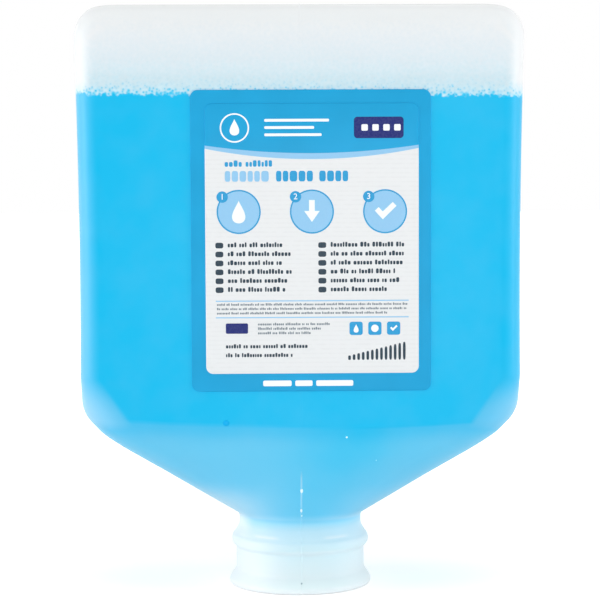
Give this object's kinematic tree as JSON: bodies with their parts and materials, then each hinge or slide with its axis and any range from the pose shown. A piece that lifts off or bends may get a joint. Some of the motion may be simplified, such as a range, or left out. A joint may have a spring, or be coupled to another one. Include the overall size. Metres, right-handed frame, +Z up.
{
  "type": "hand soap refill pack",
  "caption": "Translucent blown refill bottle of blue hand soap, standing neck down, with froth over the liquid, a plug in the neck and a printed label on the flat front.",
  "frame": {"origin": "on the neck's axis, in the plane of the mouth's rim, on which the pack stands", "axes": "+Z up along the neck's axis towards the bottle's closed base, -Y out of the front with the label, +X to the right as seen from the front"},
  "size_m": [0.1824, 0.0773, 0.2422],
  "materials": {
    "bottle_plastic": "translucent milky polyethylene, satin",
    "liquid_soap": "clear cyan liquid",
    "froth": "fine white froth, tinted blue",
    "plug_plastic": "white moulded polyethylene",
    "label_film": "printed plastic film",
    "leaflet_paper": "printed coated paper"
  },
  "bodies": {
    "root": {"bottle": "bottle_plastic", "soap": "liquid_soap", "froth": "froth", "neck_plug": "plug_plastic", "label_base": "label_film", "label_leaflet": "leaflet_paper"}
  },
  "joints": []
}
